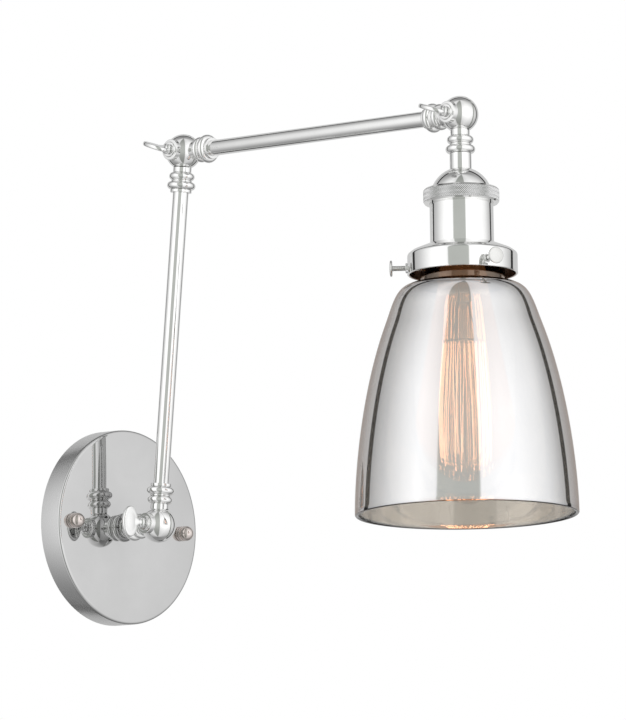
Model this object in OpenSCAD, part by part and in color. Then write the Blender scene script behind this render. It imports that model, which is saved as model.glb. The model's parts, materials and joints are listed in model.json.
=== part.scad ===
// Swing arm wall sconce: a round wall plate, two arms on ball pivots, and a bell shade.
// The origin is the centre of the plate on the wall plane. The lamp reaches out along -Y, +Z is up.
// All ball pivots turn about lines parallel to X, and their thumb screws are on the -X side.

/* [Wall plate] */
// Diameter of the wall plate
plate_d = 120; // [116:1:140]
// Depth of the wall plate, from the wall to its face
plate_depth = 16; // [15:0.5:25]
// Sheet thickness of the wall plate
plate_wall = 1.2; // [0.8:0.1:1.5]
// Radius rolled into the front edge of the wall plate
plate_edge_r = 2; // [1.8:0.1:4]
// Distance between the two cap nuts
stud_spacing = 95; // [90:1:96]

/* [Arms] */
// Length of the lower arm between its two pivot centres
lower_len = 230.5; // [150:0.5:300]
// Length of the upper arm between its two pivot centres
upper_len = 227.5; // [150:0.5:300]
// Outside diameter of the arm tubes
tube_d = 9.6; // [8.8:0.1:10.2]
// Wall thickness of the arm tubes
tube_wall = 1; // [0.8:0.1:1.2]
// Distance from the plate face to the first pivot centre
stem_len = 25.4; // [25.4:0.1:32]
// Lean of the lower arm away from the wall, in degrees
lower_lean = 4; // [0:0.1:15]
// Drop of the upper arm below horizontal, in degrees
upper_drop = 0.5; // [0:0.1:10]
// Tip of the shade away from the wall, in degrees
head_tip = 2.2; // [0:0.1:10]

/* [Ball pivots] */
// Diameter of the pivot balls
ball_d = 22; // [21.4:0.1:22.4]
// Running gap between a ball half and the neck that passes over it
ball_gap = 0.3; // [0.2:0.05:0.5]
// Gap at the seam between the two halves of a ball
seam = 0.3; // [0.2:0.05:0.5]
// Length of the oval paddle of a thumb screw, across the screw
paddle_len = 19; // [15:0.5:20]
// Width of the oval paddle, along the screw
paddle_w = 12.3; // [10:0.1:13.5]
// Thickness of the oval paddle
paddle_t = 3.2; // [2:0.1:3.5]

/* [Socket] */
// Outside diameter of the socket shell
shell_d = 37.5; // [37:0.1:39]
// Outside diameter of the knurled ring
knurl_d = 44.8; // [42:0.1:48]
// Outside diameter of the shade fitter
fitter_d = 64.8; // [64:0.1:70]
// Height of the fitter's collar
fitter_h = 12.1; // [11:0.1:14]

/* [Shade and bulb] */
// Diameter of the shade at its rim
shade_d = 131; // [124:1:140]
// Distance from the head pivot to the rim of the shade
shade_reach = 238; // [234:1:242]
// Thickness of the shade's glass
glass_t = 2.4; // [2:0.1:3]
// Largest diameter of the bulb
bulb_d = 58; // [50:1:60]
// Distance from the head pivot to the tip of the bulb
bulb_reach = 213; // [200:1:216]

/* [Hidden] */
$fn = 64;
eps = 0.01;
fit = 0.04;      // radial clearance of parts that are pressed, screwed or glued together
run = 0.06;      // radial clearance of parts that turn in each other
hole_play = 0.3; // radial play of a plain hole around a screw
over = 1;        // how far a cutting tool runs past what it cuts

// Pivot centres
base_y = plate_depth + stem_len;
base_at = [0, -base_y, 0];
elbow_at = base_at + lower_len * [0, -sin(lower_lean), cos(lower_lean)];
head_at = elbow_at + upper_len * [0, -cos(upper_drop), -sin(upper_drop)];

// Ball pivots and turned collars, as distances from the ball's centre along the neck
ball_r = ball_d / 2;
ball_wall = 2.6;
pillar_r = 4.2;
neck_r = 5.65;
neck_from = 6;
waist_r = 6.25;
neck_bore_r = 3.3;
bore_from = 5;
ring1_at = 15.3;
ring1_r = 7.85;
ring2_at = 21;
ring2_r = 8.75;
bead_r = 2.4;
lip_from = 23;
lip_r = 6.6;
collar_end = 25.3;
plain_end = ring2_at + bead_r;
seat_at = 14;
boss_r = 6.4;
boss_from = 7;
boss_end = 12.2;
boss_step_r = 4.6;
boss_step_end = 13.4;
screw_r = 2;
screw_neck_r = 2.6;
screw_end = 7;
screw_bead_at = 15.3;
screw_bead_r = 1.3;
paddle_from = 18.5;
washer_t = 0.8;
washer_play = 0.1;
lead_r = 0.95;
lead_x = 1.2;
lead_reach = 2;

// Wall plate hardware
bar_l = 106;
bar_w = 22;
bar_t = 2;
slot_spacing = 74;
slot_l = 12;
slot_r = 2.3;
wire_hole_r = 7;
stud_r = 2;
stud_from = 0.5;
stud_to = 20.5;
nut_flats = 8.7;
nut_t = 3.1;
cap_nut_r = 4.6;
cap_nut_l = 7.5;
cap_nut_foot = 1.5;
cap_nut_groove = 0.7;
nipple_r = 5;
nipple_bore_r = 3.2;
nipple_end = 8;
swivel_nut_flats = 14.3;
swivel_nut_t = 4;
swivel_washer_r = 9;
swivel_washer_t = 1;
ground_x = 20;
ground_r = 1.5;
ground_head_r = 3.2;
ground_head_t = 2.2;

// Head, as distances from the head pivot along the shade's axis
stem_r = 6.4;
stem_end = 33;
spigot_r = 4.9;
spigot_end = 41;
crown_r = 11;
crown_t = 3.4;
stem_nut_flats = 13;
stem_nut_t = 3;
dome_r = 18.4;
dome_centre = 50.2;
dome_wall = 1.2;
dome_end = 46.5;
skirt_r = 17.6;
skirt_wall = 1;
skirt_end = 52;
knurl_top = 44.7;
knurl_bottom = 53.5;
knurl_web = 1.4;
shell_r = shell_d / 2;
shell_wall = 1;
shell_top = 47;
shell_end = 84;
insulator_r = 17.1;
insulator_top = 53;
insulator_end = 80;
pocket_top = 57.5;
screw_shell_r = 14.3;
screw_shell_wall = 0.6;
terminal_x = 9;
terminal_r = 1.25;
terminal_depth = 2.8;
terminal_head_r = 2.8;
terminal_head_t = 1.8;
contact_r = 3;
contact_hole_r = 5;
lead_bend = 42;
lead_splay = 40;
fitter_r = fitter_d / 2;
fitter_wall = 1;
fitter_top = 77.7;
fitter_shoulder = 83.7;
fitter_end = fitter_shoulder + fitter_h;
lock_ring_top = 81.3;
lock_ring_t = 2.4;
lock_ring_r = 23;
shade_screw_at = fitter_shoulder + 0.62 * fitter_h;
shade_screw_r = 1.6;
shade_screw_tip = 25.2;
shade_screw_len = 17.8;
shade_screw_head_r = 4.9;
shade_screw_head_t = 1.6;
shade_boss_r = 3;
shade_screw_turns = [111, 231, 351];

// Shade outline: h is the height above the rim
shade_r = shade_d / 2;
bell_h = 160;      // height at which the bell's curve would close
bell_power = 1.7;
bell_fullness = 0.44;
body_top = 112;
body_steps = 13;
shoulder_top = 136.6;
shoulder_in_r = 27;
shoulder_rise = 15;     // pull of the shoulder's curve along the bell
shoulder_reach = 12.5;  // pull of the shoulder's curve along its flat top
shoulder_steps = 8;
neck_out_r = 24.9;
lip_out_r = 28.4;
lip_top = 152.6;
lip_t = 3;

// Bulb, as distances from the head pivot
bulb_r = bulb_d / 2;
bulb_base_r = 13.1;
bulb_base_top = 64.5;
bulb_base_end = 86;
bulb_neck_r = 12.6;
bulb_neck_at = 92;
bulb_wall = 0.8;
bulb_tip_top = 60;
bulb_stem_end = 112;
cage_top = 138;
cage_bottom = 202;
cage_top_r = 9;
cage_bottom_r = 12;
cage_wires = 16;
filament_wire_r = 0.35;
support_r = 0.5;
glass_rod_r = 1.6;
hub_r = 2.4;
hub_l = 2;
stem_press_r = 5;
stem_press_l = 8;
stem_tube_r = 4;

// The bell's outer radius at a height above its rim, and how fast it changes
function body_r(h) = shade_r * pow(1 - pow(h / bell_h, bell_power), bell_fullness);
function body_slope(h) = (body_r(h + eps) - body_r(h - eps)) / (2 * eps);

// The shoulder runs on from the bell as one curve between four control points
shoulder_points = [
    [body_r(body_top), body_top],
    [body_r(body_top), body_top] + shoulder_rise * [body_slope(body_top), 1],
    [shoulder_in_r + shoulder_reach, shoulder_top],
    [shoulder_in_r, shoulder_top]
];
function mix(a, b, t) = (1 - t) * a + t * b;
function blend(points, t) = len(points) == 1 ? points[0]
    : blend([for (i = [1 : len(points) - 1]) mix(points[i - 1], points[i], t)], t);
function shoulder_way(t) = blend([for (i = [1 : 3]) shoulder_points[i] - shoulder_points[i - 1]], t);

// ---------- Places ----------

module at_base() { translate(base_at) children(); }
module along_wall_stem() { at_base() rotate([-90, 0, 0]) children(); }
module along_lower_arm() { at_base() rotate([lower_lean, 0, 0]) children(); }
module at_elbow() { translate(elbow_at) children(); }
module back_down_lower_arm() { at_elbow() rotate([lower_lean + 180, 0, 0]) children(); }
module along_upper_arm() { at_elbow() rotate([90 + upper_drop, 0, 0]) children(); }
module at_head() { translate(head_at) children(); }
module back_along_upper_arm() { at_head() rotate([upper_drop - 90, 0, 0]) children(); }
module along_head() { at_head() rotate([180 - head_tip, 0, 0]) children(); }
// Along the wall's normal, from the wall outwards
module out_of_wall() { rotate([90, 0, 0]) children(); }
// Along X, from a pivot's centre towards the thumb screw
module towards_thumb() { rotate([0, -90, 0]) children(); }

// ---------- Shared shapes ----------

// A tube along +Z between two distances
module tube(r_out, r_in, from, to) {
    translate([0, 0, from])
        difference() {
            cylinder(r = r_out, h = to - from);
            translate([0, 0, -over]) cylinder(r = r_in, h = to - from + 2 * over);
        }
}

// A rod along +Z between two distances
module rod(r, from, to) { translate([0, 0, from]) cylinder(r = r, h = to - from); }

// A hexagonal nut along +Z with a round hole
module hex_nut(flats, hole_r, from, to) {
    translate([0, 0, from])
        difference() {
            cylinder(r = flats / sqrt(3), h = to - from, $fn = 6);
            translate([0, 0, -over]) cylinder(r = hole_r, h = to - from + 2 * over);
        }
}

// Half of space on one side of the pivot's seam
module half_space(side, gap) {
    size = 80;
    translate([side > 0 ? gap : -size - gap, -size / 2, -size / 2]) cube(size);
}

// Turned collar around a neck along +Z: two beads and, on a long one, a lip
module turned_collar(end) {
    rotate_extrude()
        union() {
            translate([0, neck_from]) square([neck_r, ring1_at - neck_from]);
            translate([0, ring1_at]) square([waist_r, ring2_at - ring1_at]);
            translate([ring1_r - bead_r, ring1_at]) circle(r = bead_r);
            translate([0, ring1_at - bead_r]) square([ring1_r - bead_r, 2 * bead_r]);
            translate([ring2_r - bead_r, ring2_at]) circle(r = bead_r);
            translate([0, ring2_at - bead_r]) square([ring2_r - bead_r, 2 * bead_r]);
            if (end > plain_end) translate([0, lip_from]) square([lip_r, end - lip_from]);
        }
}

// Half of a ball pivot on the -X side, with its hollow, its neck and its turned collar along +Z.
// With a boss the thumb screw passes through it, without one the hole is blind and threaded.
module ball_half(end, seat_r, boss) {
    difference() {
        union() {
            intersection() {
                sphere(r = ball_r);
                half_space(-1, seam / 2);
            }
            difference() {
                turned_collar(end);
                intersection() {
                    sphere(r = ball_r + ball_gap);
                    half_space(1, -seam / 2);
                }
            }
            if (boss) towards_thumb() {
                rod(boss_r, boss_from, boss_end);
                rod(boss_step_r, boss_from, boss_step_end);
            }
        }
        // the hollow that the leads cross, around the pillar for the screw
        difference() {
            intersection() {
                sphere(r = ball_r - ball_wall);
                half_space(-1, seam / 2 - eps);
            }
            rotate([0, 90, 0]) cylinder(r = pillar_r, h = 4 * ball_r, center = true);
        }
        // seat of the friction washer
        intersection() {
            rotate([0, 90, 0]) cylinder(r = pillar_r + eps, h = washer_t + 2 * fit, center = true);
            half_space(-1, 0);
        }
        rod(neck_bore_r, bore_from, end + over);
        rod(seat_r, seat_at, end + over);
        towards_thumb() {
            if (boss) rod(screw_r + hole_play, -over, 2 * ball_r);
            else rod(screw_r + fit, -over, screw_end + 0.5);
        }
    }
}

// The half on the thumb screw's side, and the half that the screw threads into
module boss_half(end, seat_r) { ball_half(end, seat_r, true); }
module nut_half(end, seat_r) { mirror([1, 0, 0]) ball_half(end, seat_r, false); }

// Thumb screw along the pivot, with an oval paddle turned about the screw: 0 is level, 90 upright
module thumb_screw(turn) {
    towards_thumb() {
        rod(screw_r, -screw_end, boss_step_end + 0.1);
        rod(screw_neck_r, boss_step_end + 0.1, paddle_from + 2);
        translate([0, 0, screw_bead_at]) rotate_extrude()
            translate([screw_neck_r - screw_bead_r / 2, 0]) circle(r = screw_bead_r);
        rotate([0, 0, turn])
            translate([0, 0, paddle_from + paddle_w / 2])
                rotate([0, 90, 0])
                    translate([0, 0, -paddle_t / 2])
                        linear_extrude(paddle_t) paddle_outline();
    }
}

// The paddle's outline: a round-ended oval, longer across the screw
module paddle_outline() {
    reach = (paddle_len - paddle_w) / 2;
    for (s = [-1, 1]) translate([0, s * reach]) circle(d = paddle_w);
    square([paddle_w, 2 * reach], center = true);
}

module friction_washer() {
    difference() {
        rotate([0, 90, 0]) cylinder(r = pillar_r - washer_play, h = washer_t, center = true);
        rotate([0, 90, 0]) cylinder(r = screw_r + hole_play, h = 4 * washer_t, center = true);
    }
}

// Tube of an arm of a given length, with its ends seated in two collars
module arm_tube(length) { tube(tube_d / 2, tube_d / 2 - tube_wall, seat_at, length - seat_at); }

// The pair of insulated leads in an arm of a given length
module arm_leads(length) {
    for (s = [-1, 1]) translate([s * lead_x, 0, 0])
        rod(lead_r, seat_at - lead_reach, length - seat_at + lead_reach);
}

// ---------- Wall plate ----------

// A filled plate outline of a given size, as radius against distance from the wall
module plate_outline(r, depth, edge) {
    square([r - edge, depth]);
    square([r, depth - edge]);
    translate([r - edge, depth - edge]) circle(r = edge);
}

module backplate() {
    color("silver") out_of_wall() difference() {
        rotate_extrude(convexity = 4) difference() {
            plate_outline(plate_d / 2, plate_depth, plate_edge_r);
            plate_outline(plate_d / 2 - plate_wall, plate_depth - plate_wall,
                plate_edge_r - plate_wall);
            translate([0, -over]) square([plate_d / 2 - plate_wall, 2 * over]);
        }
        rod(nipple_r + run, plate_depth - 2 * plate_wall, plate_depth + over);
        for (s = [-1, 1]) translate([s * stud_spacing / 2, 0, 0])
            rod(stud_r + hole_play, plate_depth - 2 * plate_wall, plate_depth + over);
    }
}

module crossbar() {
    color("lightsteelblue") out_of_wall() difference() {
        translate([-bar_l / 2, -bar_w / 2, 0]) cube([bar_l, bar_w, bar_t]);
        rod(wire_hole_r, -over, bar_t + over);
        for (s = [-1, 1]) translate([s * stud_spacing / 2, 0, 0]) rod(stud_r + fit, -over, bar_t + over);
        for (s = [-1, 1]) translate([s * slot_spacing / 2, 0, 0]) {
            for (t = [-1, 1]) translate([t * (slot_l / 2 - slot_r), 0, 0]) rod(slot_r, -over, bar_t + over);
            translate([slot_r - slot_l / 2, -slot_r, -over])
                cube([slot_l - 2 * slot_r, 2 * slot_r, bar_t + 2 * over]);
        }
        translate([ground_x, 0, 0]) rod(ground_r + fit, -over, bar_t + over);
    }
}

module mounting_studs() {
    color("lightsteelblue") out_of_wall()
        for (s = [-1, 1]) translate([s * stud_spacing / 2, 0, 0]) rod(stud_r, stud_from, stud_to);
}

module stud_lock_nuts() {
    color("lightsteelblue") out_of_wall()
        for (s = [-1, 1]) translate([s * stud_spacing / 2, 0, 0])
            hex_nut(nut_flats, stud_r + fit, bar_t, bar_t + nut_t);
}

// Turned cap nuts: a foot, a groove and a domed end, hollow for the stud
module cap_nuts() {
    dome_at = cap_nut_l - cap_nut_r;
    color("rosybrown") out_of_wall()
        for (s = [-1, 1]) translate([s * stud_spacing / 2, 0, plate_depth])
            difference() {
                union() {
                    rod(cap_nut_r, 0, cap_nut_foot);
                    rod(cap_nut_r - cap_nut_groove, 0, dome_at);
                    rod(cap_nut_r, cap_nut_foot + cap_nut_groove, dome_at);
                    intersection() {
                        translate([0, 0, dome_at]) sphere(r = cap_nut_r);
                        rod(cap_nut_r, dome_at, cap_nut_l);
                    }
                }
                rod(stud_r + fit, -over, stud_to - plate_depth + 0.4);
            }
}

module ground_screw() {
    color("green") out_of_wall() translate([ground_x, 0, 0]) {
        rod(ground_r, 0.2, bar_t + 0.5);
        rod(ground_head_r, bar_t, bar_t + ground_head_t);
    }
}

// ---------- Stem and first pivot ----------

module base_knuckle_wall_half() {
    color("silver") along_wall_stem() nut_half(collar_end, nipple_r + fit);
}

module swivel_nipple() {
    color("lightsteelblue") along_wall_stem()
        tube(nipple_r, nipple_bore_r, seat_at, base_y - nipple_end);
}

module swivel_washer() {
    top = plate_depth - plate_wall - 0.1;
    color("lightsteelblue") out_of_wall()
        tube(swivel_washer_r, nipple_r + fit, top - swivel_washer_t, top);
}

module swivel_nut() {
    top = plate_depth - plate_wall - 0.1 - swivel_washer_t;
    color("lightsteelblue") out_of_wall()
        hex_nut(swivel_nut_flats, nipple_r + fit, top - swivel_nut_t, top);
}

module base_friction_washer() { color("saddlebrown") at_base() friction_washer(); }
module base_thumb_screw() { color("silver") at_base() thumb_screw(90); }

// ---------- Lower arm ----------

module base_knuckle_arm_half() {
    color("silver") along_lower_arm() boss_half(collar_end, tube_d / 2 + fit);
}
module lower_arm_tube() { color("silver") along_lower_arm() arm_tube(lower_len); }
module lower_arm_leads() { color("khaki") along_lower_arm() arm_leads(lower_len); }
module elbow_knuckle_lower_half() {
    color("silver") back_down_lower_arm() nut_half(collar_end, tube_d / 2 + fit);
}
module elbow_friction_washer() { color("saddlebrown") at_elbow() friction_washer(); }
module elbow_thumb_screw() { color("silver") at_elbow() thumb_screw(-20); }

// ---------- Upper arm ----------

module elbow_knuckle_upper_half() {
    color("silver") along_upper_arm() boss_half(collar_end, tube_d / 2 + fit);
}
module upper_arm_tube() { color("silver") along_upper_arm() arm_tube(upper_len); }
module upper_arm_leads() { color("khaki") along_upper_arm() arm_leads(upper_len); }
module head_knuckle_arm_half() {
    color("silver") back_along_upper_arm() nut_half(collar_end, tube_d / 2 + fit);
}
module head_friction_washer() { color("saddlebrown") at_head() friction_washer(); }
module head_thumb_screw() { color("silver") at_head() thumb_screw(-18); }

// ---------- Socket ----------

module head_knuckle_shade_half() {
    color("silver") along_head() boss_half(plain_end, spigot_r + fit);
}

// Short tube between the collar and the socket cap, with a threaded spigot at each end
module head_stem() {
    color("silver") along_head() difference() {
        union() {
            rod(spigot_r, seat_at, spigot_end);
            rod(stem_r, plain_end, stem_end);
        }
        rod(neck_bore_r, seat_at - over, spigot_end + over);
    }
}

module stem_lock_nut() {
    color("lightsteelblue") along_head() hex_nut(stem_nut_flats, spigot_r + fit,
        stem_end + crown_t, stem_end + crown_t + stem_nut_t);
}

// Domed cap: a spherical shell with a thick crown around the stem, and a skirt into the shell
module socket_cap() {
    color("silver") along_head() difference() {
        union() {
            intersection() {
                translate([0, 0, dome_centre]) sphere(r = dome_r);
                rod(dome_r, stem_end, dome_end);
            }
            rod(skirt_r, dome_end - over, skirt_end);
        }
        difference() {
            intersection() {
                translate([0, 0, dome_centre]) sphere(r = dome_r - dome_wall);
                rod(dome_r, stem_end, dome_end);
            }
            rod(crown_r, 0, stem_end + crown_t);
        }
        rod(skirt_r - skirt_wall, dome_end - over, skirt_end + over);
        rod(spigot_r + fit, 0, stem_end + crown_t + over);
    }
}

module knurled_ring() {
    chamfer = 1;
    r = knurl_d / 2;
    color("gainsboro") along_head() difference() {
        rotate_extrude() polygon([
            [0, knurl_top], [r - chamfer, knurl_top], [r, knurl_top + chamfer],
            [r, knurl_bottom - chamfer], [r - chamfer, knurl_bottom], [0, knurl_bottom]
        ]);
        rod(dome_r + 0.1, knurl_top - over, knurl_bottom);
        rod(shell_r + fit, knurl_top + knurl_web, knurl_bottom + over);
    }
}

module socket_shell() {
    color("silver") along_head() tube(shell_r, shell_r - shell_wall, shell_top, shell_end);
}

module socket_insulator() {
    color("dimgray") along_head() difference() {
        rod(insulator_r, insulator_top, insulator_end);
        rod(screw_shell_r + fit, pocket_top, insulator_end + over);
        for (s = [-1, 1]) translate([s * terminal_x, 0, 0])
            rod(terminal_r + fit, insulator_top - over, insulator_top + terminal_depth + 0.2);
    }
}

module terminal_screws() {
    color("goldenrod") along_head() for (s = [-1, 1]) translate([s * terminal_x, 0, 0]) {
        rod(terminal_r, insulator_top - 0.5, insulator_top + terminal_depth);
        rod(terminal_head_r, insulator_top - terminal_head_t, insulator_top);
    }
}

// Two leads out of the stem, bent outwards to the terminal screws
module socket_leads() {
    run_l = (insulator_top - terminal_head_t - 0.8 - lead_bend) / cos(lead_splay);
    color("khaki") along_head() for (s = [-1, 1]) translate([s * lead_x, 0, 0]) {
        rod(lead_r, seat_at - lead_reach, lead_bend);
        translate([0, 0, lead_bend]) sphere(r = lead_r);
        translate([0, 0, lead_bend]) rotate([0, s * lead_splay, 0]) rod(lead_r, 0, run_l);
    }
}

module socket_screw_shell() {
    color("goldenrod") along_head() difference() {
        rod(screw_shell_r, pocket_top, insulator_end - 1);
        rod(screw_shell_r - screw_shell_wall, pocket_top + screw_shell_wall, insulator_end);
        rod(contact_hole_r, pocket_top - over, insulator_end);
    }
}

module centre_contact() { color("goldenrod") along_head() rod(contact_r, pocket_top, bulb_tip_top - 0.1); }

// ---------- Shade fitter ----------

module shade_fitter() {
    color("silver") along_head() difference() {
        union() {
            rotate_extrude(convexity = 4) polygon([
                [shell_r + 0.1, fitter_top], [fitter_r - 0.8, fitter_shoulder - 0.6],
                [fitter_r, fitter_shoulder + 0.6], [fitter_r, fitter_end],
                [fitter_r - fitter_wall, fitter_end],
                [fitter_r - fitter_wall, fitter_shoulder + 1],
                [shell_r + 0.1, fitter_top + 1.3]
            ]);
            for (a = shade_screw_turns) rotate([0, 0, a]) translate([0, 0, shade_screw_at])
                rotate([0, 90, 0]) rod(shade_boss_r, fitter_r - fitter_wall / 2, fitter_r + 1.2);
        }
        for (a = shade_screw_turns) rotate([0, 0, a]) translate([0, 0, shade_screw_at])
            rotate([0, 90, 0]) rod(shade_screw_r + run, fitter_r - 3, fitter_r + 3);
    }
}

module fitter_lock_ring() {
    color("lightsteelblue") along_head()
        tube(lock_ring_r, shell_r + fit, lock_ring_top, lock_ring_top + lock_ring_t);
}

// Screw that holds the glass, pointing inwards, with a thin round head
module shade_screw(turn) {
    head_at_r = shade_screw_tip + shade_screw_len;
    along_head() rotate([0, 0, turn]) translate([0, 0, shade_screw_at]) rotate([0, 90, 0]) {
        rod(shade_screw_r, shade_screw_tip, head_at_r);
        rod(shade_screw_head_r, head_at_r - shade_screw_head_t, head_at_r);
    }
}

module shade_screw_front() { color("silver") shade_screw(shade_screw_turns[0]); }
module shade_screw_left() { color("silver") shade_screw(shade_screw_turns[1]); }
module shade_screw_right() { color("silver") shade_screw(shade_screw_turns[2]); }

// ---------- Glass shade ----------

// Points of the shade's outline, from the rim up to its neck, a distance inside the outer face
function shade_points(inside) = concat(
    [for (i = [0 : body_steps]) let (h = body_top * i / body_steps) [body_r(h) - inside, h]],
    [for (i = [1 : shoulder_steps]) let (t = i / shoulder_steps, way = shoulder_way(t))
        blend(shoulder_points, t) + inside / norm(way) * [-way[1], way[0]]]
);

module glass_shade() {
    outer = shade_points(0);
    inner = shade_points(glass_t);
    last = len(inner) - 1;
    color("gainsboro", 0.5) along_head() translate([0, 0, shade_reach]) mirror([0, 0, 1])
        rotate_extrude(convexity = 6) polygon(concat(
            outer,
            [[neck_out_r, shoulder_top + 0.8], [neck_out_r, lip_top - lip_t],
             [lip_out_r, lip_top - lip_t + 0.8], [lip_out_r, lip_top], [neck_out_r - glass_t, lip_top],
             [neck_out_r - glass_t, shoulder_top - glass_t]],
            [for (i = [last - 1 : -1 : 0]) inner[i]]
        ));
}

// ---------- Bulb ----------

// Outline of the bulb: a straight neck, a cone and a round end, a distance inside the outer face
function bulb_points(inside) = let (
    r = bulb_r - inside,
    centre = bulb_reach - bulb_r,
    slope = atan2(bulb_r - bulb_neck_r - 1, centre - bulb_neck_at)
) concat(
    [[bulb_neck_r - inside, bulb_base_end - 1], [bulb_neck_r + 0.4 - inside, bulb_neck_at]],
    [for (i = [0 : 12]) let (a = -slope + (90 + slope) * i / 12) [r * cos(a), centre + r * sin(a)]]
);

module bulb_glass() {
    outer = bulb_points(0);
    inner = bulb_points(bulb_wall);
    color("moccasin", 0.5) along_head() rotate_extrude(convexity = 6) polygon(concat(
        outer, [for (i = [len(inner) - 1 : -1 : 0]) inner[i]]
    ));
}

module bulb_screw_base() {
    color("goldenrod") along_head() tube(bulb_base_r, bulb_neck_r + fit, bulb_base_top, bulb_base_end);
}

module bulb_insulator() {
    color("dimgray") along_head() translate([0, 0, bulb_tip_top + 0.6])
        difference() {
            cylinder(r1 = contact_hole_r, r2 = bulb_neck_r, h = bulb_base_top - bulb_tip_top + 0.4);
            translate([0, 0, -over]) cylinder(r = contact_r + fit, h = 2.4);
        }
}

module bulb_tip_contact() { color("silver") along_head() rod(contact_r, bulb_tip_top, bulb_tip_top + 2); }

// The glass stem inside the bulb, with its flare sealed to the neck and a central rod
module bulb_glass_stem() {
    color("moccasin", 0.5) along_head() {
        translate([0, 0, bulb_base_end])
            cylinder(r1 = bulb_neck_r - bulb_wall - fit, r2 = stem_press_r, h = stem_press_l);
        rod(stem_tube_r, bulb_base_end, bulb_stem_end);
        rod(glass_rod_r, bulb_stem_end - over, cage_bottom + 2);
    }
}

// Rings of support wire at the top and the bottom of the filament cage
module filament_supports() {
    color("dimgray") along_head() {
        for (a = [0 : 45 : 315]) rotate([0, 0, a]) {
            translate([0, 0, cage_top - hub_l]) rotate([0, 90, 0]) rod(support_r, hub_r - 0.4, cage_top_r);
            translate([0, 0, cage_bottom + hub_l / 2]) rotate([0, 90, 0])
                rod(support_r, hub_r - 0.4, cage_bottom_r);
        }
        tube(hub_r, glass_rod_r + fit, cage_top - 1.5 * hub_l, cage_top - hub_l / 2);
        tube(hub_r, glass_rod_r + fit, cage_bottom, cage_bottom + hub_l);
    }
}

// A cage of fine upright wires
module filament() {
    height = cage_bottom - cage_top;
    flare = atan2(cage_bottom_r - cage_top_r, height);
    color("orange") along_head() for (i = [0 : cage_wires - 1])
        rotate([0, 0, (i + 0.5) * 360 / cage_wires]) translate([cage_top_r, 0, cage_top])
            rotate([0, flare, 0]) rod(filament_wire_r, 0, height / cos(flare));
}

// ---------- Assembly ----------

backplate();
crossbar();
mounting_studs();
stud_lock_nuts();
cap_nuts();
ground_screw();
base_knuckle_wall_half();
swivel_nipple();
swivel_washer();
swivel_nut();
base_friction_washer();
base_knuckle_arm_half();
lower_arm_tube();
elbow_knuckle_lower_half();
lower_arm_leads();
elbow_friction_washer();
elbow_knuckle_upper_half();
upper_arm_tube();
head_knuckle_arm_half();
upper_arm_leads();
head_friction_washer();
head_knuckle_shade_half();
head_stem();
stem_lock_nut();
socket_cap();
knurled_ring();
socket_shell();
socket_insulator();
terminal_screws();
socket_leads();
socket_screw_shell();
centre_contact();
shade_fitter();
fitter_lock_ring();
glass_shade();
bulb_glass();
bulb_screw_base();
bulb_insulator();
bulb_tip_contact();
bulb_glass_stem();
filament_supports();
filament();
base_thumb_screw();
elbow_thumb_screw();
head_thumb_screw();
shade_screw_front();
shade_screw_left();
shade_screw_right();
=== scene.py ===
"""Looks of the swing arm wall sconce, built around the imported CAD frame.

Every round piece is a lathe: an outline of (radius, distance) pairs in millimetres, spun about
its own axis. Places come from the frame's joints. A lathe's local +Z runs along the piece's axis.
"""

import json
import math
import random

import bmesh
import bpy
from mathutils import Matrix, Vector

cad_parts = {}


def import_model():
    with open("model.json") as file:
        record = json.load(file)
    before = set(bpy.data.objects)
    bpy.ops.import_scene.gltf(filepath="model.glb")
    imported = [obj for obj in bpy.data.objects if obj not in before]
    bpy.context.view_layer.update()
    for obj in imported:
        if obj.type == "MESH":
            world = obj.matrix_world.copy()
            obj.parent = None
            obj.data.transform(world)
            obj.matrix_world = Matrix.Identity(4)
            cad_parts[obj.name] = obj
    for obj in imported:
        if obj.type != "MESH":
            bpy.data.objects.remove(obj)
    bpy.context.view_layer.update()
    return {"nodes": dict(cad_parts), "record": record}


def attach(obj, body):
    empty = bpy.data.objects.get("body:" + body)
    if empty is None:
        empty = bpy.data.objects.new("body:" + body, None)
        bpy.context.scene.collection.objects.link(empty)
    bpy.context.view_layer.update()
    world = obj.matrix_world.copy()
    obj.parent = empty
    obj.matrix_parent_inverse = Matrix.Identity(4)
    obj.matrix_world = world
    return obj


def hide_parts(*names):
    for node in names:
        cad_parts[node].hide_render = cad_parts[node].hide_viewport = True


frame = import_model()

MM = 0.001
SEGMENTS = 144

# ---------------------------------------------------------------- sizes in mm, as in the CAD source
PLATE_R, PLATE_DEPTH, PLATE_WALL, PLATE_EDGE = 60.0, 16.0, 1.2, 2.0
NIPPLE_R, NIPPLE_HOLE_R = 5.0, 5.1
STUD_X = 47.5
BALL_R, SEAM, BALL_GAP = 11.0, 0.3, 0.3
NECK_R, RING1_AT, RING1_R, RING2_AT, RING2_R = 5.65, 15.3, 7.85, 21.0, 8.75
BEAD_R, LIP_FROM, LIP_R, COLLAR_END, PLAIN_END = 2.4, 23.0, 6.6, 25.3, 23.4
BOSS_R, BOSS_ROOT, BOSS_END, BOSS_STEP_R, BOSS_STEP_END = 6.4, 7.0, 12.2, 4.6, 13.4
SCREW_R, SCREW_NECK_R, SCREW_TIP = 2.0, 2.6, -7.0
PADDLE_FROM, PADDLE_W, PADDLE_L, PADDLE_T = 18.5, 12.3, 19.0, 3.2
TUBE_R, TUBE_WALL, SEAT_AT, SEAT_LEN = 4.8, 1.0, 14.0, 5.0
STEM_R, STEM_END = 6.4, 33.0
SPIGOT_R, SPIGOT_BORE_R, SPIGOT_END, CROWN_UNDER = 4.9, 3.3, 41.0, 36.4
THREAD_PLAY = 0.04
DOME_R, DOME_CENTRE, DOME_END, DOME_WALL = 18.4, 50.2, 46.5, 1.2
SKIRT_R, SKIRT_WALL, SKIRT_END = 17.6, 1.0, 52.0
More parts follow.
